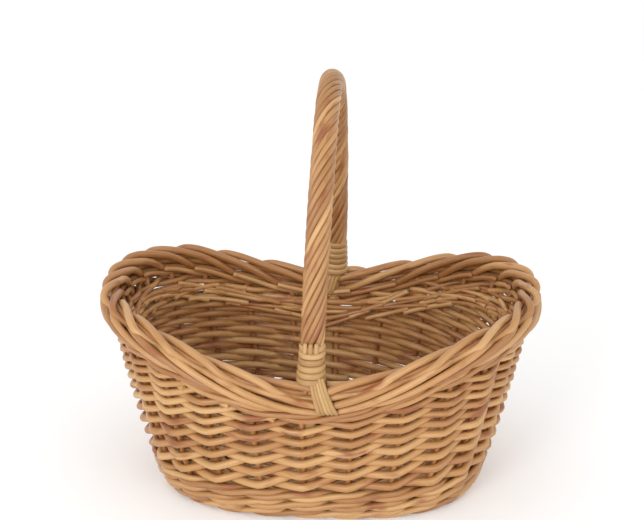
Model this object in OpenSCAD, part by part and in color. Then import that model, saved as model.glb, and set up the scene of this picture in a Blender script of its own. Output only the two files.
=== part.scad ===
// Woven willow market basket: boat-shaped rim, stick base, randed sides, laid border and a roped bow handle.
// Origin at the centre of the foot, on the surface the basket stands on. X runs along the rim, Z is up.

/* [Rim] */
// Half of the overall length, over the border
rim_a = 210; // [190:1:225]
// Half of the overall depth, over the border
rim_b = 156; // [145:1:165]
// How square the rim's outline is: 2 is an ellipse
rim_n = 2.3; // [2:0.1:2.8]
// Height of the border's top at the front and rear, beside the handle
rim_low = 153; // [146:1:165]
// Height of the border's top at the two ends
rim_high = 198; // [185:1:215]

/* [Foot] */
// Half of the foot's length
foot_a = 160; // [145:1:170]
// Half of the foot's depth
foot_b = 126; // [115:1:132]
// How square the foot's outline is
foot_n = 2.7; // [2:0.1:3]

/* [Rods] */
// Number of upright stakes, an even number
stakes = 28; // [24:2:32]
// Radius of a stake
stake_r = 3; // [2.5:0.1:3.2]
// Thickness of a siding rod
weaver_t = 5; // [4:0.1:5.5]
// Rounds of siding below the packing
side_rounds = 6; // [5:1:8]
// Rounds of packing at each end
pack_rounds = 5; // [3:1:6]

/* [Border] */
// Width of the border
border_w = 21; // [19:1:24]
// Height of the border
border_h = 28; // [24:1:30]

/* [Handle] */
// Height of the handle's top
handle_top = 405; // [380:1:430]
// Half of the handle's span where it enters the border
handle_half_span = 142.5; // [141:0.5:144]
// How far the top of the handle leans along the rim
handle_lean = 10; // [0:1:14]
// Radius of the bow under its rope
bow_r = 5.5; // [5:0.1:6]
// Radius over the rope
rope_r = 11.3; // [10.5:0.1:12]
// Radius over the binding at each foot of the handle
binding_r = 13.8; // [13:0.1:15]
// Height of each binding
binding_h = 36; // [30:1:42]

/* [Hidden] */
$fn = 24;

gap = 0.2;
outline_points = 84;
foot_wale_h = 34;
foot_rod_h = 6;
foot_rod_inset = 5.5;
foot_step_h = 16;
channel_sides = 8;
channel_r = (stake_r + gap) / cos(180 / channel_sides);
wall_t = 2 * (stake_r + weaver_t + gap);
base_z = 9;
base_h = 11;
base_edge = 18;
base_inset = wall_t / 2 + stake_r + gap;
stick_r = 4;
stake_end_r = 2.5;
long_sticks = 3;
long_pitch = 9;
cross_sticks = 7;
cross_pitch = 34;
top_wale_h = 16;
siding_top = rim_low - border_h - top_wale_h;
top_inset = 14;
leg_r = 3.4;
leg_x = 0.4;
bow_sides = 12;
rope_end_r = 1.9;
rope_ends = 4;
rope_end_pitch = 4.1;
rope_end_slant = 9;
front_ends_x = 2.5;
rear_ends_x = -1;
ends_recess = 2 * rope_end_r + gap;
ends_span = front_ends_x + rope_ends * rope_end_pitch + rope_end_slant;
peg_r = 1.3;
peg_h = 7;
peg_spread = 42;
pegs = 3;

// Parts of the outline and the saddle-shaped rim

function power_sum(t, n) = pow(abs(cos(t)), n) + pow(abs(sin(t)), n);
function outline(t, a, b, n) = pow(power_sum(t, n), -1 / n) * [a * cos(t), b * sin(t)];
function signed_power(v, n) = sign(v) * pow(abs(v), n);

function unit(v) = v / norm(v);
function outward(t) =
    let (p = outline(t, 1, 1, rim_n))
    unit([signed_power(p[0], rim_n - 1) / rim_a, signed_power(p[1], rim_n - 1) / rim_b]);

function saddle(u) = 0.2 * u * u + 0.8 * (1 - cos(180 * u)) / 2;
function rim_z(t) =
    let (u = min(1, abs(outline(t, rim_a, rim_b, rim_n)[0]) / rim_a))
    rim_low + (rim_high - rim_low) * saddle(u);
function border_z(t) = rim_z(t) - border_h;
function top_wale_z(t) = border_z(t) - top_wale_h;

// The surface that the middles of the stakes stand in

function foot_point(t) = outline(t, foot_a - wall_t / 2, foot_b - wall_t / 2, foot_n);
function top_point(t) = outline(t, rim_a - top_inset, rim_b - top_inset, rim_n);
function wall_xy(t, z, out = 0) =
    let (s = (z - base_z) / (border_z(t) - base_z))
    foot_point(t) * (1 - s) + top_point(t) * s + out * outward(t);
function wall_xyz(t, z, out = 0) =
    let (p = wall_xy(t, z, out))
    [p[0], p[1], z];

// Stakes stand wider apart along the sides than round the ends
function stake_angle(i) =
    let (u = 268 + i * 360 / stakes)
    u - 2.9 * sin(2 * u);

// Shared solids

module sweep(rings, closed = false) {
    n = len(rings);
    k = len(rings[0]);
    last = closed ? n - 1 : n - 2;
    sides = [for (i = [0:last], j = [0:k - 1])
        let (a = i * k + j,
            b = i * k + (j + 1) % k,
            c = ((i + 1) % n) * k + (j + 1) % k,
            d = ((i + 1) % n) * k + j)
        each [[a, b, c], [a, c, d]]];
    caps = [[for (j = [k - 1:-1:0]) j], [for (j = [0:k - 1]) (n - 1) * k + j]];
    polyhedron(points = [for (r = rings) each r], faces = concat(sides, closed ? [] : caps));
}

// A sleeve between two sets of rings with the same number of points each
module sleeve(outer, inner) {
    n = len(outer);
    k = len(outer[0]);
    span = n * k;
    walls = [for (i = [0:n - 2], j = [0:k - 1])
        let (a = i * k + j,
            b = i * k + (j + 1) % k,
            c = b + k,
            d = a + k)
        each [[a, b, c], [a, c, d], [span + c, span + b, span + a], [span + d, span + c, span + a]]];
    ends = [for (j = [0:k - 1])
        let (next = (j + 1) % k,
            top = (n - 1) * k)
        each [[next, j, span + j], [next, span + j, span + next],
            [top + j, top + next, span + top + j], [top + next, span + top + next, span + top + j]]];
    polyhedron(
        points = concat([for (r = outer) each r], [for (r = inner) each r]),
        faces = concat(walls, ends));
}

module rod(from, to, r) {
    run = to - from;
    length = norm(run);
    translate(from)
        rotate([0, acos(run[2] / length), atan2(run[1], run[0])])
            cylinder(h = length, r = r);
}

module stake_run(t, r, over = 0) {
    rod(wall_xyz(t, base_z - stake_r), wall_xyz(t, border_z(t) + over), r);
}

// The four corners of a siding rod's section where it passes a stake, inside or outside
function band_corners(t, low, high, side) =
    let (near = side * (stake_r + gap),
        far = side * (stake_r + gap + weaver_t),
        inner = min(near, far),
        outer = max(near, far))
    [wall_xyz(t, low, inner), wall_xyz(t, low, outer), wall_xyz(t, high, outer), wall_xyz(t, high, inner)];

function side_of(i, round) = (i + round) % 2 == 0 ? 1 : -1;

module bow_leg(side, r, over = 0) {
    foot = wall_xyz(side < 0 ? 270 : 90, base_z + 12);
    top = [0, side * handle_half_span, border_z(90) + over];
    rod([-side * leg_x, foot[1], foot[2]], [-side * leg_x, top[1], top[2]], r);
}

module bow_legs(r, over = 0) {
    bow_leg(-1, r, over);
    bow_leg(1, r, over);
}

// Base

module base_long_sticks() {
    length = 2 * (foot_a - wall_t - base_edge);
    color("burlywood")
        for (i = [0:long_sticks - 1])
            translate([-length / 2, (i - (long_sticks - 1) / 2) * long_pitch, base_z])
                rotate([0, 90, 0])
                    cylinder(h = length, r = stick_r);
}

module cross_stick(x, r) {
    reach = foot_b - wall_t - base_edge - 0.1 * abs(x);
    translate([x, reach, base_z])
        rotate([90, 0, 0])
            cylinder(h = 2 * reach, r = r);
}

module base_cross_sticks() {
    slot_y = long_sticks * long_pitch;
    color("tan")
        for (i = [0:cross_sticks - 1])
            let (x = (i - (cross_sticks - 1) / 2) * cross_pitch)
                difference() {
                    cross_stick(x, stick_r + 1.5);
                    translate([x - 10, -slot_y / 2, base_z - stick_r - gap])
                        cube([20, slot_y, 2 * (stick_r + gap)]);
                }
}

module base_weave() {
    slot_y = long_sticks * long_pitch;
    length = 2 * (foot_a - wall_t - base_edge + gap);
    color("peru")
        difference() {
            translate([0, 0, base_z - base_h / 2])
                linear_extrude(base_h)
                    foot_outline(base_inset);
            translate([-length / 2, -slot_y / 2, base_z - stick_r - gap])
                cube([length, slot_y, 2 * (stick_r + gap)]);
            for (i = [0:cross_sticks - 1])
                cross_stick((i - (cross_sticks - 1) / 2) * cross_pitch, stick_r + 1.5 + gap);
            for (i = [0:stakes - 1])
                stake_foot(stake_angle(i), stake_end_r + gap, 1);
        }
}

// Sides

// The end of a stake that is pushed into the base
module stake_foot(t, r, over = 0) {
    p = foot_point(t);
    inner = p * (1 - (wall_t / 2 + base_edge - 3 + over) / norm(p));
    rod([inner[0], inner[1], base_z], [p[0], p[1], base_z], r);
}

module side_stakes() {
    color("sienna")
        for (i = [0:stakes - 1])
            union() {
                stake_foot(stake_angle(i), stake_end_r);
                stake_run(stake_angle(i), stake_r);
            }
}

module foot_outline(inset) {
    polygon([for (i = [0:outline_points - 1])
        outline(i * 360 / outline_points, foot_a - inset, foot_b - inset, foot_n)]);
}

// Section of the foot wale above its lowest rod: outside the stakes at first, then on both sides of them
function foot_section(t) = [
    wall_xyz(t, foot_rod_h, 0),
    wall_xyz(t, foot_rod_h, wall_t / 2 - 1.6),
    wall_xyz(t, foot_step_h, wall_t / 2),
    wall_xyz(t, foot_wale_h, wall_t / 2),
    wall_xyz(t, foot_wale_h, -wall_t / 2),
    wall_xyz(t, foot_step_h, -wall_t / 2),
    wall_xyz(t, foot_step_h, 0)];

module foot_wale() {
    steps = 2 * stakes;
    color("peru") {
        linear_extrude(foot_rod_h - gap / 2)
            difference() {
                foot_outline(foot_rod_inset);
                foot_outline(base_inset - gap);
            }
        difference() {
            sweep([for (i = [0:steps - 1]) foot_section(stake_angle(i / 2 + 0.25))], closed = true);
            for (i = [0:stakes - 1])
                let (t = stake_angle(i))
                    rod(wall_xyz(t, 0), wall_xyz(t, border_z(t)), channel_r, $fn = channel_sides);
            bow_legs(leg_r + gap);
        }
    }
}

module side_weave() {
    h = (siding_top - foot_wale_h) / side_rounds;
    color("burlywood")
        difference() {
            union() {
                for (k = [0:side_rounds - 1])
                    sweep([for (i = [0:stakes - 1])
                        band_corners(stake_angle(i), foot_wale_h + k * h, foot_wale_h + (k + 1) * h,
                            side_of(i, k))], closed = true);
            }
            bow_legs(leg_r + gap);
        }
}

// Height of the packing's own layers, which fan out from the low middle of the rim to the high end
function pack_level(t, k) = siding_top + (top_wale_z(t) - siding_top) * k / pack_rounds;

module end_packing(first) {
    color("tan")
        for (k = [0:pack_rounds - 1])
            sweep([for (i = [first:first + stakes / 2 - 2])
                band_corners(stake_angle(i), pack_level(stake_angle(i), k), pack_level(stake_angle(i), k + 1),
                    side_of(i, k))]);
}

module left_end_packing() {
    end_packing(stakes / 2 + 1);
}

module right_end_packing() {
    end_packing(1);
}

module top_wale() {
    steps = 2 * stakes;
    color("peru")
        difference() {
            sweep([for (i = [0:steps - 1])
                let (t = stake_angle(i / 2),
                    past_handle = min(i % stakes, stakes - i % stakes) / 2,
                    low = past_handle < 1 ? siding_top : top_wale_z(t),
                    high = border_z(t))
                [wall_xyz(t, low, -wall_t / 2), wall_xyz(t, low, wall_t / 2),
                    wall_xyz(t, high, wall_t / 2), wall_xyz(t, high, -wall_t / 2)]], closed = true);
            for (i = [0:stakes - 1])
                stake_run(stake_angle(i), stake_r + gap, 1);
            bow_legs(leg_r + gap, 1);
        }
}

// Border

// A rounded section of the border, from its inside bottom corner round to its inside top
function border_section(t) =
    let (out = outward(t),
        edge = outline(t, rim_a, rim_b, rim_n),
        z = border_z(t))
    [for (q = [[-1, 0.1], [-0.75, 0], [-0.25, 0], [0, 0.15], [0, 0.75], [-0.3, 1], [-0.75, 1], [-1, 0.8]])
        let (p = edge + q[0] * border_w * out)
        [p[0], p[1], z + q[1] * border_h]];

module border_run(from, to) {
    steps = 24;
    color("burlywood")
        difference() {
            sweep([for (i = [0:steps]) border_section(from + (to - from) * i / steps)]);
            bow_sweep(bow_r + gap);
            bow_legs(leg_r + gap, 1);
            translate([-1, -rim_b - 1, border_z(90) - 1])
                cube([ends_span + 2, 1 + ends_recess, border_h + 2]);
        }
}

module left_border() {
    border_run(90.1, 269.9);
}

module right_border() {
    border_run(-89.9, 89.9);
}

// Handle

// Angles round the half-ellipse of the handle, with stations at the top of the border and of the bindings
border_angle = asin(border_h / (handle_top - rope_r - border_z(90)));
binding_angle = asin((border_h + binding_h) / (handle_top - rope_r - border_z(90)));
arch_steps = 24;
binding_stations = [border_angle, (border_angle + binding_angle) / 2, binding_angle];
middle_stations = [for (i = [1:arch_steps - 1])
    binding_angle + (180 - 2 * binding_angle) * i / arch_steps];
rear_stations = [for (i = [2:-1:0]) 180 - binding_stations[i]];
rope_stations = concat(binding_stations, middle_stations, rear_stations);
bow_stations = concat([0, border_angle / 2], rope_stations, [180 - border_angle / 2, 180]);

function arch_rise() = handle_top - rope_r - border_z(90);
function arch_point(q) = [
    leg_x * cos(q) + handle_lean * sin(q),
    -handle_half_span * cos(q),
    border_z(90) + arch_rise() * sin(q)];
function arch_run(q) = unit([
    handle_lean * cos(q) - leg_x * sin(q),
    handle_half_span * sin(q),
    arch_rise() * cos(q)]);
function arch_ring(q, r) =
    let (p = arch_point(q),
        side = unit(cross(arch_run(q), [1, 0, 0])),
        up = cross(side, arch_run(q)))
    [for (j = [0:bow_sides - 1])
        p + r * (cos(j * 360 / bow_sides) * side + sin(j * 360 / bow_sides) * up)];

module bow_sweep(r, stations = bow_stations) {
    sweep([for (q = stations) arch_ring(q, r)]);
}

module handle_bow() {
    color("wheat")
        union() {
            bow_sweep(bow_r);
            bow_legs(leg_r, 1);
        }
}

module arch_sleeve(stations, outer_r, inner_r) {
    sleeve([for (q = stations) arch_ring(q, outer_r)], [for (q = stations) arch_ring(q, inner_r)]);
}

module handle_rope() {
    color("burlywood")
        arch_sleeve(rope_stations, rope_r, bow_r + gap);
}

module front_binding() {
    color("wheat")
        arch_sleeve(binding_stations, binding_r, rope_r + gap);
}

module rear_binding() {
    color("wheat")
        arch_sleeve(rear_stations, binding_r, rope_r + gap);
}

// Slanted ends of the rope's rods, laid side by side down one face of the border at depth y
module rope_end_rods(x, y, slant) {
    for (i = [0:rope_ends - 1])
        let (start = x + (i + 0.5) * rope_end_pitch)
            rod([start, y, rim_low - gap], [start + slant, y, border_z(90) - 1], rope_end_r);
}

module front_rope_ends() {
    color("wheat")
        rope_end_rods(front_ends_x, -rim_b + rope_end_r, rope_end_slant);
}

module rear_rope_ends() {
    color("wheat")
        rope_end_rods(rear_ends_x, rim_b - border_w - rope_end_r - gap, -rope_end_slant);
}

// Short cut rod ends that stand on a binding, against the outside of the rope
module peg_group(q, side) {
    for (i = [0:pegs - 1])
        let (a = (i - (pegs - 1) / 2) * peg_spread + 90 * side,
            spot = arch_point(q) + (rope_r + gap + peg_r) * [cos(a), sin(a), 0],
            up = -side * arch_run(q))
            rod(spot + up, spot + peg_h * up, peg_r);
}

module front_pegs() {
    color("tan")
        peg_group(binding_angle, -1);
}

module rear_pegs() {
    color("tan")
        peg_group(180 - binding_angle, 1);
}

base_long_sticks();
base_cross_sticks();
base_weave();
side_stakes();
foot_wale();
side_weave();
left_end_packing();
right_end_packing();
top_wale();
left_border();
right_border();
handle_bow();
handle_rope();
front_binding();
rear_binding();
front_rope_ends();
rear_rope_ends();
front_pegs();
rear_pegs();
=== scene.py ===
"""Looks of the woven willow market basket, laid rod by rod round its CAD frame. Lengths are in metres."""

import math

import bpy
import numpy as np
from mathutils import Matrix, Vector


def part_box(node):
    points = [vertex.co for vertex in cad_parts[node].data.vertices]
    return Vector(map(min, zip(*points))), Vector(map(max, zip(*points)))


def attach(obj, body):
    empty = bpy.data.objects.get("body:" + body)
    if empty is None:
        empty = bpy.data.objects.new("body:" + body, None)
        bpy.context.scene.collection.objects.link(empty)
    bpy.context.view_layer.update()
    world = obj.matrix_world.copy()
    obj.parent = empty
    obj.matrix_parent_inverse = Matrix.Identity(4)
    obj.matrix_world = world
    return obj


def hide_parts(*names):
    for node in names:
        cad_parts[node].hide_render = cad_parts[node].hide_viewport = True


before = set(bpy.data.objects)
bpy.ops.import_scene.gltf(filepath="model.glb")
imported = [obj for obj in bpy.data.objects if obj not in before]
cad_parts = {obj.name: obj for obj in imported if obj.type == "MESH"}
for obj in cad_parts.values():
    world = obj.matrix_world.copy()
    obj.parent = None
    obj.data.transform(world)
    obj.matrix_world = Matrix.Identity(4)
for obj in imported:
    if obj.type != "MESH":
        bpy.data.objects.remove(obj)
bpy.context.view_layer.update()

MM = 0.001
TAU = 2 * math.pi
rng = np.random.default_rng(11)

# Sizes that the frame gives

border_low, border_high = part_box("left_border")
RIM_A = -border_low.x
RIM_B = border_high.y
RIM_HIGH = border_high.z
BORDER_H = 28 * MM
BORDER_W = 21 * MM
RIM_LOW = border_low.z + BORDER_H
FOOT_WALE_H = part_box("foot_wale")[1].z
HANDLE_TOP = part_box("handle_rope")[1].z

# The rest of the basket's driving sizes, the same as in the CAD model

RIM_N = 2.3
FOOT_A = 160 * MM
FOOT_B = 126 * MM
FOOT_N = 2.7
STAKES = 28
FIRST_STAKE = 268  # degrees round from +X
STAKE_SPREAD = 2.9  # degrees by which stakes crowd round the ends
WALL_T = 16.4 * MM
TOP_INSET = 14 * MM
BASE_Z = 9 * MM
HALF_SPAN = 142.5 * MM
LEAN = 10 * MM
LEG_X = 0.4 * MM
ROPE_R = 11.3 * MM

# Sizes of the looks alone: a finer stake, a bulging wall, wider ends and a rear handle foot moved along X

STAKE_R = 2.75 * MM
BULGE = 2 * MM
END_FLARE = 2.5 * MM
FLARE_POWER = 6  # keeps the flare to the ends
REAR_SHIFT = 4.5 * MM

# Stake numbers, which count anticlockwise from the front, at the two feet of the handle

REAR_FOOT = 14.156
FRONT_FOOT = REAR_FOOT + STAKES / 2


# Shapes of the wall and the border. Angles t run anticlockwise from +X. Stake numbers need not be whole.

def outline(t, a, b, n):
    """The superellipse of half sizes a and b, an ellipse at n = 2 and squarer above."""
    c, s = np.cos(t), np.sin(t)
    k = (np.abs(c) ** n + np.abs(s) ** n) ** (-1 / n)
    return np.stack([a * k * c, b * k * s], -1)


def outward(t):
    """Level unit vectors that point straight out of the rim."""
    p = outline(t, 1, 1, RIM_N)
    v = np.sign(p) * np.abs(p) ** (RIM_N - 1) / np.array([RIM_A, RIM_B])
    return v / np.linalg.norm(v, axis=-1, keepdims=True)


def rim_z(t):
    """Height of the border's top: a saddle, low beside the handle and high at the ends."""
    u = np.minimum(1, np.abs(outline(t, RIM_A, RIM_B, RIM_N)[..., 0]) / RIM_A)
    saddle = 0.2 * u * u + 0.8 * (1 - np.cos(math.pi * u)) / 2
    return RIM_LOW + (RIM_HIGH - RIM_LOW) * saddle


def border_z(t):
    """Height of the border's underside."""
    return rim_z(t) - BORDER_H


def stake_angle(i):
    u = np.radians(FIRST_STAKE + np.asarray(i, float) * 360 / STAKES)
    return u - math.radians(STAKE_SPREAD) * np.sin(2 * u)


def wall(i, z, out=0.0):
    """Points of the wall at stake numbers i and heights z, moved out from the stakes' middles."""
    t = stake_angle(i)
    z = z + 0 * t
    foot = outline(t, FOOT_A - WALL_T / 2, FOOT_B - WALL_T / 2, FOOT_N)
    top = outline(t, RIM_A - TOP_INSET, RIM_B - TOP_INSET, RIM_N)
    s = (z - BASE_Z) / (border_z(t) - BASE_Z)
    between = np.clip(s, 0, 1)
    out = out + BULGE * 4 * between * (1 - between)
    xy = foot + (top - foot) * s[..., None] + np.asarray(out)[..., None] * outward(t)
    return np.concatenate([xy, z[..., None]], -1)


def border_point(i, rho, zeta):
    """Points of the border at stake numbers i, rho outward and zeta up from the middle of its section."""
    t = stake_angle(i)
    edge = outline(t, RIM_A, RIM_B, RIM_N)
    flare = END_FLARE * (edge[:, 0] / RIM_A) ** FLARE_POWER
    xy = edge + (rho - BORDER_W / 2 + flare)[:, None] * outward(t)
    return np.column_stack([xy, border_z(t) + BORDER_H / 2 + zeta])


def hermite(knots, values, x):
    """A smooth curve through values at knots, read at x."""
    slopes = np.gradient(values, knots, axis=0)
    k = np.clip(np.searchsorted(knots, x, side="right") - 1, 0, len(knots) - 2)
    h = knots[k + 1] - knots[k]
    u = ((x - knots[k]) / h)[:, None]
    h = h[:, None]
    start = (1 + 2 * u) * (1 - u) ** 2 * values[k] + u * (1 - u) ** 2 * h * slopes[k]
    end = u * u * (3 - 2 * u) * values[k + 1] + u * u * (u - 1) * h * slopes[k + 1]
    return start + end


# Rods

UNEVEN = 0.03  # of a rod's radius
UNEVEN_REACH = 30 * MM
GRAIN_FIELD = 40  # metres over which rods are strewn in the grain's noise
TONE_SPREAD = 0.08
CHAMFER = 0.14  # length, in radii
CHAMFER_RADII = (0.5, 0.84)


def wander(n, step, reach, size):
    """A slow random drift along a rod: n values, step metres apart, with a new random level every reach."""
    length = int(n * step / reach) + 3
    levels = rng.normal(0, size, length)
    x = np.arange(n) * step / reach + rng.random()
    return np.interp(x, np.arange(length), levels)


def carried(normal, tangents):
    """Normals all along a curve, from the first one on, that turn no more than the curve does."""
    normals = np.empty_like(tangents)
    for k, tangent in enumerate(tangents):
        normal = normal - np.dot(normal, tangent) * tangent
        normal = normal / np.linalg.norm(normal)
        normals[k] = normal
    return normals


class Rods:
    """A piece made of many rods, each a swept tube with cut ends and its own grain."""

    def __init__(self, name, material, slot, node):
        self.name = name
        self.material = material
        self.slot = slot
        self.node = node
        self.parts = []

    def add(self, points, radius, sides=10, flat=1.0, hint=(0, 0, 1), natural=1.0, tone=None, closed=False):
        """Sweeps a rod along points. Its section starts with one axis towards hint and is that much
        flatter on it, natural scales its uneven thickness, and tone runs from 0 for dark to 1 for pale."""
        n = len(points)
        steps = np.linalg.norm(np.diff(points, axis=0), axis=1)
        along = np.concatenate([[0], np.cumsum(steps)])
        step = along[-1] / (n - 1)
        radius = radius * (1 + natural * wander(n, step, UNEVEN_REACH, UNEVEN))
        if closed:
            tangents = np.roll(points, -1, axis=0) - np.roll(points, 1, axis=0)
        else:
            tangents = np.gradient(points, axis=0)
        tangents /= np.linalg.norm(tangents, axis=1, keepdims=True)
        normals = carried(hint, tangents)
        sideways = np.cross(tangents, normals)
        if not closed:
            points, radius, along, normals, sideways = self._cut_ends(
                points, radius, along, tangents, normals, sideways)
        n = len(points)
        phi = np.arange(sides) * TAU / sides
        across, down = np.cos(phi)[None, :, None], np.sin(phi)[None, :, None]
        section = flat * across * normals[:, None] + down * sideways[:, None]
        vertices = points[:, None] + radius[:, None, None] * section
        offset = rng.random(3) * GRAIN_FIELD
        grain = np.empty((n, sides, 3))
        grain[..., 0] = radius[:, None] * np.cos(phi) + offset[0]
        grain[..., 1] = radius[:, None] * np.sin(phi) + offset[1]
        grain[..., 2] = along[:, None] + offset[2]
        corner = np.arange(sides)
        beside = (corner + 1) % sides
        here = np.arange(n if closed else n - 1)[:, None] * sides
        after = (here + sides) % (n * sides)
        quads = np.stack([here + corner, here + beside, after + beside, after + corner], -1).reshape(-1, 4)
        cut = np.zeros((n, sides))
        caps = []
        if not closed:
            cut[[0, -1]] = 1
            caps = [list(range(sides))[::-1], list(range((n - 1) * sides, n * sides))]
        tone = rng.random() if tone is None else tone + rng.normal(0, TONE_SPREAD)
        self.parts.append((vertices.reshape(-1, 3), quads, caps, grain.reshape(-1, 3), cut.ravel(), tone))

    @staticmethod
    def _cut_ends(points, radius, along, tangents, normals, sideways):
        """Adds a small chamfer and a cap ring at each end."""
        first = points[0] - tangents[0] * CHAMFER * radius[0]
        last = points[-1] + tangents[-1] * CHAMFER * radius[-1]
        points = np.vstack([[first], [first], points, [last], [last]])
        inner, outer = CHAMFER_RADII
        radius = np.concatenate([[inner * radius[0], outer * radius[0]], radius,
                                 [outer * radius[-1], inner * radius[-1]]])
        along = np.concatenate([[along[0]] * 2, along, [along[-1]] * 2])
        normals = np.vstack([[normals[0]] * 2, normals, [normals[-1]] * 2])
        sideways = np.vstack([[sideways[0]] * 2, sideways, [sideways[-1]] * 2])
        return points, radius, along, normals, sideways

    def build(self):
        """Joins the rods into one object that takes the place of its CAD node."""
        mesh = bpy.data.meshes.new(self.name)
        vertices, faces, grain, cut, tone, base = [], [], [], [], [], 0
        for part_vertices, quads, caps, part_grain, part_cut, part_tone in self.parts:
            vertices.append(part_vertices)
            faces.extend((quads + base).tolist())
            faces.extend([[base + v for v in cap] for cap in caps])
            grain.append(part_grain)
            cut.append(part_cut)
            tone.append(np.full(len(part_vertices), part_tone))
            base += len(part_vertices)
        mesh.from_pydata(np.vstack(vertices).tolist(), [], faces)
        mesh.polygons.foreach_set("use_smooth", [len(face) == 4 for face in faces])
        for label, kind, field, values in (("grain", "FLOAT_VECTOR", "vector", grain),
                                           ("cut", "FLOAT", "value", cut),
                                           ("tone", "FLOAT", "value", tone)):
            layer = mesh.attributes.new(label, kind, "POINT")
            layer.data.foreach_set(field, np.concatenate(values).ravel())
        mesh.materials.append(self.material)
        mesh.validate()
        piece = bpy.data.objects.new(self.name, mesh)
        bpy.context.scene.collection.objects.link(piece)
        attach(piece, "root")
        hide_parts(self.node)


# Materials

def srgb(r, g, b):
    """A colour of three bytes as Blender's linear one."""
    def linear(v):
        v = v / 255
        return v / 12.92 if v <= 0.04045 else ((v + 0.055) / 1.055) ** 2.4
    return (linear(r), linear(g), linear(b), 1)


def willow(name, tones, stain, end, stain_low=0.56):
    """Varnished willow: rods of several tones, long fibres, brown stains where noise passes stain_low,
    and cut ends of their own colour."""
    material = bpy.data.materials.new(name)
    material.use_nodes = True
    nodes = material.node_tree.nodes
    link = material.node_tree.links.new
    shader = nodes["Principled BSDF"]
    shader.inputs["Coat Weight"].default_value = 0.25
    shader.inputs["Coat Roughness"].default_value = 0.3

    def attribute(label):
        node = nodes.new("ShaderNodeAttribute")
        node.attribute_name = label
        return node

    def noise(scale, detail, rough=0.55):
        mapping = nodes.new("ShaderNodeMapping")
        mapping.inputs["Scale"].default_value = scale
        texture = nodes.new("ShaderNodeTexNoise")
        texture.inputs["Scale"].default_value = 1
        texture.inputs["Detail"].default_value = detail
        texture.inputs["Roughness"].default_value = rough
        link(grain.outputs["Vector"], mapping.inputs["Vector"])
        link(mapping.outputs["Vector"], texture.inputs["Vector"])
        return texture.outputs["Fac"]

    def ramp(value, stops):
        node = nodes.new("ShaderNodeValToRGB")
        elements = node.color_ramp.elements
        while len(elements) < len(stops):
            elements.new(0.5)
        for element, (position, colour) in zip(elements, stops):
            element.position = position
            element.color = colour
        link(value, node.inputs["Fac"])
        return node.outputs["Color"]

    def mix(mode, amount, a, b):
        node = nodes.new("ShaderNodeMix")
        node.data_type = "RGBA"
        node.blend_type = mode
        if isinstance(amount, float):
            node.inputs["Factor"].default_value = amount
        else:
            link(amount, node.inputs["Factor"])
        link(a, node.inputs["A"])
        if isinstance(b, tuple):
            node.inputs["B"].default_value = b
        else:
            link(b, node.inputs["B"])
        return node.outputs["Result"]

    grain = attribute("grain")
    patchiness = 0.9
    patches = nodes.new("ShaderNodeMath")
    patches.operation = "MULTIPLY_ADD"
    patches.inputs[1].default_value = patchiness
    link(noise((70, 70, 16), 3), patches.inputs[0])
    centred = nodes.new("ShaderNodeMath")
    centred.operation = "SUBTRACT"
    centred.inputs[1].default_value = patchiness / 2
    link(attribute("tone").outputs["Fac"], centred.inputs[0])
    link(centred.outputs[0], patches.inputs[2])
    last = len(tones) - 1
    colour = ramp(patches.outputs[0], [(0.1 + 0.8 * i / last, srgb(*c)) for i, c in enumerate(tones)])
    fibres = noise((1500, 1500, 45), 5, 0.6)
    streaks = ramp(fibres, [(0.3, (0.7, 0.64, 0.58, 1)), (0.62, (1, 1, 1, 1))])
    colour = mix("MULTIPLY", 0.75, colour, streaks)
    stained = ramp(noise((95, 95, 26), 2), [(stain_low, (0, 0, 0, 1)), (stain_low + 0.14, (1, 1, 1, 1))])
    colour = mix("MIX", stained, colour, srgb(*stain))
    colour = mix("MIX", attribute("cut").outputs["Fac"], colour, srgb(*end))
    link(colour, shader.inputs["Base Color"])
    rough, smooth = 0.54, 0.34
    sheen = ramp(fibres, [(0.2, (rough, rough, rough, 1)), (0.8, (smooth, smooth, smooth, 1))])
    link(sheen, shader.inputs["Roughness"])
    bump = nodes.new("ShaderNodeBump")
    bump.inputs["Strength"].default_value = 0.6
    bump.inputs["Distance"].default_value = 0.25 * MM
    link(fibres, bump.inputs["Height"])
    link(bump.outputs["Normal"], shader.inputs["Normal"])
    return material


STAIN = (146, 84, 44)
side_willow = willow("side_willow", [(172, 119, 68), (184, 133, 79), (197, 148, 91), (208, 164, 108)],
                     STAIN, (200, 160, 108))
foot_willow = willow("foot_willow", [(168, 117, 67), (181, 132, 79), (194, 146, 91), (206, 161, 105)],
                     STAIN, (200, 160, 108))
border_willow = willow("border_willow", [(168, 116, 66), (180, 128, 76), (191, 142, 87), (204, 158, 104)],
                       (150, 82, 40), (196, 154, 102), stain_low=0.6)
stake_willow = willow("stake_willow", [(168, 110, 62), (186, 128, 76), (198, 144, 92)],
                      STAIN, (186, 146, 96))
rope_willow = willow("rope_willow", [(168, 119, 71), (182, 134, 83), (194, 148, 94), (205, 161, 108)],
                     STAIN, (196, 156, 104))
pale_willow = willow("pale_willow", [(172, 130, 80), (186, 146, 92), (200, 160, 106)], (160, 106, 60),
                     (202, 164, 112), stain_low=0.68)
base_willow = willow("base_willow", [(150, 102, 56), (172, 124, 72), (190, 142, 88)],
                     STAIN, (196, 156, 102))


# Base

BASE_DOME = 3 * MM
DOME_A = 150 * MM
DOME_B = 115 * MM


def base_height(x, y):
    """The middle of the base, slightly domed."""
    return BASE_Z + BASE_DOME * np.clip(1 - (x / DOME_A) ** 2 - (y / DOME_B) ** 2, 0, 1)


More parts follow.
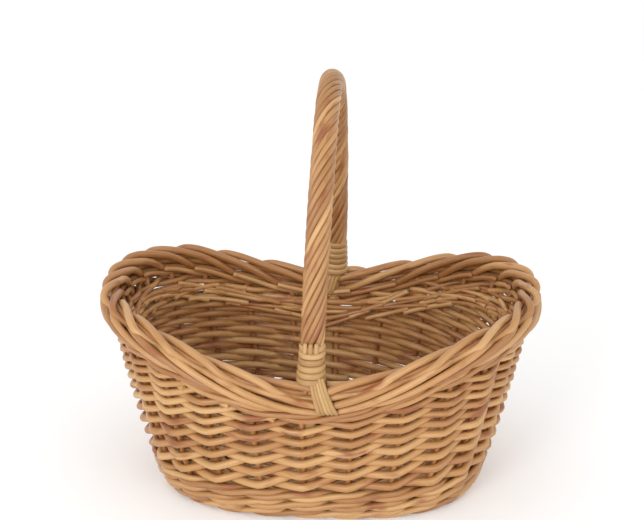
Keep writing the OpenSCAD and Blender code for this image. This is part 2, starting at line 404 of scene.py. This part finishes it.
def make_base_sticks():
    """Three long sticks that spread at their ends, and seven that cross them and fan out."""
    sticks = Rods("base_long_sticks", base_willow, "base_sticks", "base_long_sticks")
    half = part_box("base_long_sticks")[1].x
    pitch = 8.3 * MM
    for y in (-pitch, 0, pitch):
        x = np.linspace(-half, half, 40)
        spread = 1 + 1.6 * np.clip(np.abs(x) / half - 0.55, 0, 1)
        sticks.add(np.column_stack([x, y * spread, base_height(x, y)]), 4.1 * MM)
    sticks.build()

    sticks = Rods("base_cross_sticks", base_willow, "base_sticks", "base_cross_sticks")
    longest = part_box("base_cross_sticks")[1].y
    pitch = 34 * MM
    for k in range(-3, 4):
        reach = longest - 0.1 * abs(k) * pitch
        y = np.linspace(-reach, reach, 36)
        fan = 1 + 0.16 * np.abs(y / reach) ** 2
        sticks.add(np.column_stack([k * pitch * fan, y, base_height(k * pitch, y)]), 4.3 * MM)
    sticks.build()


def make_base_weave():
    """Rounds of paired rods, each a wave over and under the sticks; the two of a round cross."""
    rounds = 18
    points_a_spoke = 9
    spokes = 20
    smallest = 15.3 * MM
    largest = FOOT_B - WALL_T / 2 - 6.2 * MM
    apart = 0.6 * MM
    swing = 4.6 * MM
    for name, first in (("base_weave_a", 0), ("base_weave_b", 1)):
        weave = Rods(name, base_willow, "base_willow", "base_weave")
        for k in range(first, rounds, 2):
            f = k / (rounds - 1)
            b = smallest + (largest - smallest) * f
            a = b + FOOT_A - FOOT_B
            n = 2 + (FOOT_N - 2) * f
            t = np.linspace(0, TAU, spokes * points_a_spoke, endpoint=False)
            for side in (-1, 1):
                p = outline(t, a + side * apart, b + side * apart, n)
                z = base_height(p[:, 0], p[:, 1]) + side * swing * np.cos(spokes / 2 * t + k * math.pi)
                weave.add(np.column_stack([p, z]), 2.55 * MM, sides=8, closed=True)
        weave.build()


# Stakes

TOE = 24 * MM
TOE_BEND = ((1, 0), (0.8, 0), (0.55, 0), (0.34, 0), (0.18, 0.5 * MM), (0.05, 2 * MM))


def make_stakes():
    """Each stake starts under the base, TOE inside the wall, turns up over TOE_BEND, given as how far in
    and how high, and ends in the border."""
    stakes = Rods("side_stakes", stake_willow, "stake_willow", "side_stakes")
    levels = 26
    for i in range(STAKES):
        t = stake_angle(i)
        foot = outline(t, FOOT_A - WALL_T / 2, FOOT_B - WALL_T / 2, FOOT_N)
        inward = -foot / np.linalg.norm(foot) * TOE
        toe = np.array([[*(foot + inward * f), BASE_Z - 1 * MM + h] for f, h in TOE_BEND])
        up = np.linspace(BASE_Z + 5 * MM, border_z(t) + 4 * MM, levels)
        stakes.add(np.vstack([toe, wall(np.full(levels, i), up)]), STAKE_R, sides=8)
    stakes.build()


# Waling. A step is the way from one stake to the next.

PER_STEP = 7  # points
SAG_TOP = 13 * MM  # below this the foot wale pulls in
SAG_POWER = 1.4


def wale_path(height, lift, radius, sag, phase):
    """One round of three-rod waling: a single curve that runs three times round and closes on itself.
    A rod passes outside two stakes, rising from lift below the round's height to lift above it, and
    inside the third. height gives the round's height at an angle, and sag is how far the foot pulls in."""
    s = np.arange(3 * STAKES * PER_STEP) / PER_STEP
    step = np.floor(s).astype(int)
    u = s - step
    state = (step + phase) % 3
    rest_out = np.array([1.0, 1.0, -1.0])
    rest_z = np.array([-1.0, 1.0, 0.0])
    blend = (1 - np.cos(math.pi * u)) / 2
    early = np.clip(u / 0.6, 0, 1)
    late = np.clip((u - 0.4) / 0.6, 0, 1)
    z_blend = np.where(state == 2, early, np.where(state == 1, late, u))
    z_blend = z_blend * z_blend * (3 - 2 * z_blend)
    after = (state + 1) % 3
    out = rest_out[state] * (1 - blend) + rest_out[after] * blend
    z = rest_z[state] * (1 - z_blend) + rest_z[after] * z_blend
    reach = STAKE_R + radius
    heights = height(stake_angle(s)) + z * lift
    out = np.where(out > 0, out * (reach + 0.4 * MM), out * reach)
    tuck = sag * np.clip((SAG_TOP - heights) / SAG_TOP, 0, 1) ** SAG_POWER
    return wall(s, heights, out - tuck)


def add_wale(wale, height, radius, sag=0.0, phase=0):
    """Lays the three rods of one round; each begins and ends inside the wall."""
    path = wale_path(height, 2.9 * MM, radius, sag, phase)
    first = (2 - phase) % 3
    length = STAKES - STAKES % 3
    for begin, end in ((first, first + length), (first + length, first + 2 * length),
                       (first + 2 * length, first + 3 * STAKES)):
        picked = np.arange(begin * PER_STEP - 1, end * PER_STEP + 2) % len(path)
        wale.add(path[picked], radius)


def make_foot_wale():
    lowest = 6.2 * MM
    pitch = 11.2 * MM
    for k, name in enumerate(("foot_wale_lower", "foot_wale_middle", "foot_wale_upper")):
        wale = Rods(name, foot_willow, "side_willow", "foot_wale")
        add_wale(wale, lambda t: lowest + pitch * k + 0 * t, 3.05 * MM, sag=8.5 * MM, phase=k)
        wale.build()


def make_top_wale():
    wale = Rods("top_wale", side_willow, "side_willow", "top_wale")
    add_wale(wale, lambda t: border_z(t) - 6.5 * MM, 2.9 * MM)
    wale.build()


# Siding. Rod k starts at stake k and m counts stakes from there. It passes outside those of even m.

ROW_PITCH = np.clip(14.3 - 0.8 * np.arange(12), 9.2, 14) * MM
ROWS = FOOT_WALE_H + 9 * MM + np.concatenate([[0], np.cumsum(ROW_PITCH)])
ROW_COUNT = len(ROWS)
CEILING = 15 * MM  # from the border's underside down to the highest row
DIP = 2.7 * MM  # strokes outside the stakes lie this much lower, and strokes inside as much higher
TIGHTNESS = 0.975  # 1 would give a stroke a sharp corner at each stake
ROD_HEIGHTS = np.array([50, 75, 100, 150]) * MM
ROD_RADII = np.array([3.8, 3.7, 3.4, 2.85]) * MM
HEAD = (0.75, 0.35)  # stakes by which a rod reaches back past a first stroke outside, or inside
TAIL = (1.2, 0.4)  # the same on past its last stroke
TAIL_RISE = 2.1 * MM
POINT_GAP = 0.11  # in stakes
POINT_STEP = 3.6 * MM  # about the same in metres


def row_height(m):
    """Height of a siding rod m stakes from its start, before stretching: it climbs a row in two stakes."""
    return np.interp(m / 2, np.arange(ROW_COUNT), ROWS) + np.minimum(m, 0) / 2 * ROW_PITCH[0]


def fit_rows():
    """For each stake, how many half rows fit under the top wale and how far they stretch to fill it."""
    half_rows = row_height(np.arange(2 * ROW_COUNT - 1))
    counts, stretches = [], []
    for i in range(STAKES):
        ceiling = border_z(stake_angle(i)) - CEILING
        count = int(np.argmin(np.abs(half_rows - ceiling)))
        counts.append(count)
        stretches.append((ceiling - ROWS[0]) / (half_rows[count] - ROWS[0]))
    return counts, stretches


ROW_FIT, ROW_STRETCH = fit_rows()


def stretched(i, z):
    """Height on the wall at stake number i of the unstretched height z."""
    stretch = np.interp(i % STAKES, np.arange(STAKES + 1), ROW_STRETCH + ROW_STRETCH[:1])
    return ROWS[0] + (z - ROWS[0]) * stretch


def zigzag(m):
    """+1 outside the stakes at even m and -1 inside at odd m, nearly straight between."""
    return np.arcsin(TIGHTNESS * np.cos(math.pi * m)) / math.asin(TIGHTNESS)


def siding_runs(k):
    """The stretches of rod k, as lists of m, where it stays under the top wale."""
    runs, run = [], []
    for m in range(2 * ROW_COUNT - 1):
        if m <= ROW_FIT[(k + m) % STAKES]:
            run.append(m)
        elif run:
            runs.append(run)
            run = []
    return runs + ([run] if run else [])


def siding_rod(k, run):
    """Points and radii of rod k over one of its runs. A rod off the foot wale starts one stake early."""
    first, last = run[0], run[-1]
    if first == 0:
        first = -1
    start = first - HEAD[first % 2]
    end = last + TAIL[last % 2] + 0.25 * rng.random()
    if run[0] > 0:
        start -= 0.3 * rng.random()
    m = np.append(np.arange(start, end, POINT_GAP), end)
    held = np.clip(m, first, last)
    swing = zigzag(m)
    z = stretched(k + m, row_height(held)) + TAIL_RISE * (m - held) - DIP * swing
    radius = np.interp(z, ROD_HEIGHTS, ROD_RADII)
    z = np.maximum(z, FOOT_WALE_H + radius * 0.85)
    tuck = np.clip(m - last - 0.6, 0, 1) * 3 * MM * rng.random()
    out = (STAKE_R + radius * 0.98) * swing - tuck
    z = z + wander(len(m), POINT_STEP, 35 * MM, 0.35 * MM)
    out = out + wander(len(m), POINT_STEP, 35 * MM, 0.25 * MM)
    return wall(k + m, z, out), radius


def packing_end(i, drop, length, slope):
    """A short length of rod that lies against the inside of the wall, drop below the border."""
    s = np.linspace(-0.5, 0.5, 16)
    t = stake_angle(i)
    stake_gap = np.linalg.norm(wall(i + 0.5, border_z(t)) - wall(i - 0.5, border_z(t)))
    where = i + s * length / stake_gap
    z = border_z(stake_angle(where)) - drop + slope * s * length
    bow = 1.2 * MM * (2 * s) ** 2
    return wall(where, z, -(STAKE_R + 6.6 * MM) - bow)


def add_inner_rods(piece, first, last):
    """Four rods end to end inside the wall, just under the border, from stake number first to last."""
    rods = 4
    marks = np.linspace(first, last, rods + 1)
    overlap = 0.2
    for k in range(rods):
        where = np.arange(marks[k] - overlap, marks[k + 1] + overlap, 0.12)
        drop = (12.2 + 1.8 * (k % 2)) * MM + wander(len(where), 4 * MM, 50 * MM, 0.3 * MM)
        inward = STAKE_R + (5.2 + 0.9 * (k % 2)) * MM
        piece.add(wall(where, border_z(stake_angle(where)) - drop, -inward), 2.4 * MM)


def make_siding():
    """The randed siding, and the two ends' packing: the rods that start again above a full row, short
    lengths that end inside the wall, and the rods just under the border."""
    groups = [Rods(f"siding_{letter}", side_willow, "side_willow", "side_weave") for letter in "abcd"]
    left = Rods("left_end_packing", side_willow, "side_willow", "left_end_packing")
    right = Rods("right_end_packing", side_willow, "side_willow", "right_end_packing")

    def end_of(points):
        return left if points[:, 0].mean() < 0 else right

    for k in range(STAKES):
        for run in siding_runs(k):
            if len(run) > 1:
                points, radius = siding_rod(k, run)
                piece = groups[k % len(groups)] if run[0] == 0 else end_of(points)
                piece.add(points, radius)

    drops = (11 * MM, 17 * MM, 23 * MM)
    for j in range(len(drops) * STAKES):
        i = j / len(drops) + 0.3 * rng.random()
        drop = drops[j % len(drops)] + rng.normal(0, 1.2 * MM)
        points = packing_end(i, drop, rng.uniform(44, 74) * MM, rng.normal(0, 0.13))
        end_of(points).add(points, rng.uniform(2.2, 2.7) * MM)

    add_inner_rods(left, REAR_FOOT + 0.25, FRONT_FOOT - 0.25)
    add_inner_rods(right, 0.4, REAR_FOOT - 0.25)
    for piece in (*groups, left, right):
        piece.build()


# Border

# How a stake lies in the border: stakes along from its own, and mm outward and up in the section. It comes
# up inside, goes over the top and out, dips behind the next one, runs down the outside and ends inside.
BORDER_LAY = np.array([
    (-0.15, -0.5, -16), (0, -0.5, -12), (0.3, -4.5, -6), (0.6, -7.6, 0), (1, -7.6, 5.6), (1.5, -5.6, 9.2),
    (1.85, -1.8, 11), (2.15, 2.6, 11.4), (2.4, 6.4, 9.8), (2.55, 7.4, 6.8), (2.75, 4.2, 2.6),
    (3.05, 0.5, 0), (3.35, 4.5, 2), (3.6, 7.3, 1.6), (4, 8.2, -1.8), (4.5, 8.3, -5.6), (5, 7.2, -9.6),
    (5.5, 3.5, -12.5), (5.9, -3, -13.2), (6.3, -8, -11.5), (6.8, -10, -8), (7.3, -11, -6)])
CORE = ((-3, -7), (3, -9), (0, -1), (-1, 4), (0, -13.5))  # mm outward and up


def border_rod(start, way, clip):
    """One stake laid into the border, from its stake number on, to the left (way +1) or the right (-1).
    clip gives the first and last stake numbers of the run, and 1 for an end that is cut at a slant."""
    first, last, slant_first, slant_last = clip
    knots = BORDER_LAY[:, 0]
    s = np.arange(knots[0], knots[-1], 0.07)
    where = start + way * s
    lay = hermite(knots, BORDER_LAY[:, 1:] * MM, s)
    slant = 0.01 * lay[:, 1] / MM
    keep = (where > first - slant * slant_first) & (where < last - slant * slant_last)
    if keep.sum() < 6:
        return None
    s, where, lay = s[keep], where[keep], lay[keep]
    radius = np.interp(s, [0, 2.4, 5, 7], np.array([3.8, 3.65, 3.1, 2.5]) * MM)
    rho = lay[:, 0] + wander(len(s), 2.6 * MM, 50 * MM, 0.45 * MM)
    zeta = lay[:, 1] + wander(len(s), 2.6 * MM, 50 * MM, 0.45 * MM)
    return border_point(where, rho, zeta), radius


def make_borders():
    """The two runs of the border, which are laid from the rear foot of the handle to the front one. Each
    starts with stakes from before its run, and dark rods fill its core."""
    laid = 7
    overlap = 0.15
    rear = int(REAR_FOOT)
    meeting = FRONT_FOOT + 0.36
    for side, way, clip, starts in (
            ("left", 1, (REAR_FOOT - overlap, meeting, 0, 1), range(rear - laid, STAKES + 1)),
            ("right", -1, (meeting - STAKES, REAR_FOOT + overlap, 1, 0), range(rear + laid, 0, -1))):
        groups = [Rods(f"{side}_border_{letter}", border_willow, "border_willow", f"{side}_border")
                  for letter in "ab"]
        where = np.arange(clip[0], clip[1], 0.12)
        level = np.full(len(where), MM)
        for rho, zeta in CORE:
            groups[0].add(border_point(where, rho * level, zeta * level), 3.2 * MM, tone=-0.1)
        for start in starts:
            rod = border_rod(start, way, clip)
            if rod:
                groups[start % 2].add(*rod, sides=12)
        for piece in groups:
            piece.build()


# Handle. An end is -1 at the front and +1 at the rear.

ARCH_BASE = RIM_LOW - BORDER_H
ARCH_RISE = HANDLE_TOP - ROPE_R - ARCH_BASE
BORDER_Q = math.asin(BORDER_H / ARCH_RISE)
BOW_R = 5.6 * MM
STRANDS = 10
STRAND_R = 2.66 * MM
STRAND_RING = 8.75 * MM
PINCH = 0.12  # of the rope's radius, under the bindings
TURNS = 6
TURN_H = 6.05 * MM
FAN_HEIGHTS = np.array([7, 1, -6, -14, -21, -26]) * MM  # from the border's top
FAN_DEPTHS = np.array([7, 3.2, -0.3, -0.8, -0.2, 4.5]) * MM  # back from the border's face


def arch(q):
    """The handle at q, 0 at the front foot and pi at the rear one: points, tangents and two normals."""
    sin, cos = np.sin(q), np.cos(q)
    shift = np.where(q > math.pi / 2, REAR_SHIFT, 0)
    point = np.column_stack([LEG_X * cos + LEAN * sin + shift * cos ** 2,
                             -HALF_SPAN * cos,
                             ARCH_BASE + ARCH_RISE * sin])
    run = np.column_stack([LEAN * cos - LEG_X * sin - shift * np.sin(2 * q),
                           HALF_SPAN * sin,
                           ARCH_RISE * cos])
    run /= np.linalg.norm(run, axis=1, keepdims=True)
    side = np.cross(run, [1, 0, 0])
    side /= np.linalg.norm(side, axis=1, keepdims=True)
    return point, run, side, np.cross(side, run)


def foot_of_arch(z, end):
    """The arch's point, tangent and two normals at height z, at one of its ends."""
    q = math.asin((z - ARCH_BASE) / ARCH_RISE)
    return [value[0] for value in arch(np.array([q if end < 0 else math.pi - q]))]


def round_arch(phi, side, up):
    """Directions at angles phi round the arch."""
    return np.cos(phi)[:, None] * side + np.sin(phi)[:, None] * up


def make_bow():
    """The thick rod under the rope, and its two flattened ends, pushed down inside the walls."""
    bow = Rods("handle_bow", pale_willow, "bow_willow", "handle_bow")
    bow.add(arch(np.linspace(0, math.pi, 90))[0], BOW_R, sides=12, hint=(1, 0, 0))
    levels = 20
    z = np.linspace(BASE_Z + 8 * MM, ARCH_BASE, levels)
    near_top = np.clip((z - ARCH_BASE) / (25 * MM) + 1, 0, 1)
    for end, stake, shift in ((-1, FRONT_FOOT - STAKES, 0), (1, REAR_FOOT, REAR_SHIFT)):
        leg = wall(np.full(levels, stake), z, -1 * MM)
        leg[:, 0] = -end * LEG_X + shift * near_top
        bow.add(leg, np.linspace(4.2 * MM, BOW_R, levels), flat=0.55, hint=(0, 1, 0))
    bow.build()


def make_rope():
    """Rods laid side by side in a spiral round the bow, more slanted at the top, pinched where bound."""
    q = np.linspace(BORDER_Q - 0.03, math.pi - BORDER_Q + 0.03, 240)
    point, _, side, up = arch(q)
    steps = np.linalg.norm(np.diff(point, axis=0), axis=1)
    slant = np.radians(22 + 8 * np.sin(q) ** 2)
    height = point[:, 2] - RIM_LOW
    pinch = 1 - PINCH * np.clip((42 * MM - height) / (10 * MM), 0, 1)
    ring = STRAND_RING * pinch
    twist = -np.concatenate([[0], np.cumsum(np.tan(slant[1:]) / ring[1:] * steps)])
    for name, first in (("handle_rope_a", 0), ("handle_rope_b", 1)):
        rope = Rods(name, rope_willow, "rope_willow", "handle_rope")
        for k in range(first, STRANDS, 2):
            phi = TAU * k / STRANDS + twist + wander(len(q), 2.5 * MM, 60 * MM, 0.03)
            out = ring + wander(len(q), 2.5 * MM, 50 * MM, 0.15 * MM)
            path = point + out[:, None] * round_arch(phi, side, up)
            rope.add(path, STRAND_R * (0.5 + 0.5 * pinch), hint=(1, 0, 0))
        rope.build()


def make_binding(name, end):
    """Turns of a split rod round a foot of the handle, narrower towards the top."""
    binding = Rods(name, pale_willow, "pale_skein", name)
    phi = np.linspace(0, TAU, 40, endpoint=False)
    tilt = 0.6 * MM * np.sin(phi + 0.4)
    for k in range(TURNS):
        centre, run, side, up = foot_of_arch(RIM_LOW + 3 * MM + k * TURN_H, end)
        radius = (11.6 - 0.28 * k) * MM + rng.normal(0, 0.1 * MM)
        ring = centre + radius * round_arch(phi, side, up) + tilt[:, None] * run
        binding.add(ring, 3.15 * MM, flat=0.62, hint=side, closed=True, sides=12, natural=0.5)
    binding.build()


def make_fan(name, face_y, top, bottom, count):
    """Ends of the rope's rods, laid side by side down a face of the border that looks to the front.
    top and bottom are the X of the first and last of them, above and below."""
    fan = Rods(name, pale_willow, "pale_skein", name)
    points = 34
    down = np.clip((3 * MM - FAN_HEIGHTS) / (26 * MM), -0.3, 1.2)
    for x_top, x_bottom in zip(np.linspace(*top, count), np.linspace(*bottom, count)):
        x = x_top + (x_bottom - x_top) * down
        knots = np.column_stack([x, face_y + FAN_DEPTHS, RIM_LOW + FAN_HEIGHTS])
        path = hermite(np.arange(len(knots)), knots, np.linspace(0, len(knots) - 1, points))
        fan.add(path, np.linspace(1.75 * MM, 2.15 * MM, points), hint=(0, 1, 0))
    fan.build()


def make_pegs(name, end):
    """Cut rod ends that stand in the top of a binding, on the side away from the basket's middle."""
    pegs = Rods(name, pale_willow, "pale_skein", name)
    centre, run = foot_of_arch(RIM_LOW + 38 * MM, end)[:2]
    for degrees in (-28, -4, 20):
        a = math.radians(degrees + 90 * end)
        spot = centre + 12.2 * MM * np.array([math.cos(a), math.sin(a), 0])
        path = spot - end * np.outer(np.linspace(-6 * MM, 2.6 * MM, 8), run)
        pegs.add(path, np.array([2.3, 2.3, 2.3, 2.3, 2.3, 2.25, 2.1, 1.7]) * MM)
    pegs.build()


def make_handle():
    make_bow()
    make_rope()
    make_binding("front_binding", -1)
    make_binding("rear_binding", 1)
    make_fan("front_rope_ends", -RIM_B - 0.5 * MM, (2.5 * MM, 13.5 * MM), (9.5 * MM, 24 * MM), 5)
    make_fan("rear_rope_ends", RIM_B - BORDER_W - 1 * MM, (9.8 * MM, -1 * MM), (2 * MM, -8 * MM), 4)
    make_pegs("front_pegs", -1)
    make_pegs("rear_pegs", 1)


# Studio

def make_floor():
    """A wide pale disc that glows a little, so that it meets the white background."""
    bpy.ops.mesh.primitive_circle_add(vertices=96, radius=9, fill_type="NGON")
    floor = bpy.context.object
    floor.name = "floor"
    material = bpy.data.materials.new("floor")
    material.use_nodes = True
    shader = material.node_tree.nodes["Principled BSDF"]
    shader.inputs["Base Color"].default_value = (0.86, 0.86, 0.86, 1)
    shader.inputs["Roughness"].default_value = 0.9
    shader.inputs["Specular IOR Level"].default_value = 0.1
    shader.inputs["Emission Color"].default_value = (1, 1, 1, 1)
    shader.inputs["Emission Strength"].default_value = 0.16
    floor.data.materials.append(material)


def area_light(name, place, size, power):
    """A square light, size metres wide and power watts strong, aimed at the middle of the basket."""
    data = bpy.data.lights.new(name, "AREA")
    data.size = size
    data.energy = power
    light = bpy.data.objects.new(name, data)
    light.location = place
    light.rotation_euler = (Vector((0, 0, 0.15)) - Vector(place)).to_track_quat("-Z", "Y").to_euler()
    bpy.context.scene.collection.objects.link(light)


def make_studio():
    make_floor()
    world = bpy.data.worlds.new("studio")
    world.use_nodes = True
    background = world.node_tree.nodes["Background"]
    background.inputs["Color"].default_value = (1, 1, 1, 1)
    background.inputs["Strength"].default_value = 0.96
    bpy.context.scene.world = world
    area_light("key", (-0.9, -2.2, 1.1), 0.9, 21)
    area_light("fill", (1.5, -1.8, 0.9), 1.2, 8)
    bpy.context.scene.view_settings.view_transform = "Standard"


def make_camera():
    """A camera that stands as the photo's did, a little to the right of the front and looking down."""
    target = Vector((1.4 * MM, 0, 217.7 * MM))
    azimuth = 0.072
    elevation = 0.361
    distance = 1699.5 * MM
    data = bpy.data.cameras.new("camera")
    data.sensor_width = 36
    data.lens = 98.2
    data.clip_end = 50
    camera = bpy.data.objects.new("camera", data)
    camera.location = target + distance * Vector((math.sin(azimuth) * math.cos(elevation),
                                                  -math.cos(azimuth) * math.cos(elevation),
                                                  math.sin(elevation)))
    camera.rotation_euler = (target - camera.location).to_track_quat("-Z", "Y").to_euler()
    bpy.context.scene.collection.objects.link(camera)
    bpy.context.scene.camera = camera


make_camera()
make_base_sticks()
make_base_weave()
make_stakes()
make_foot_wale()
make_siding()
make_top_wale()
make_borders()
make_handle()
make_studio()
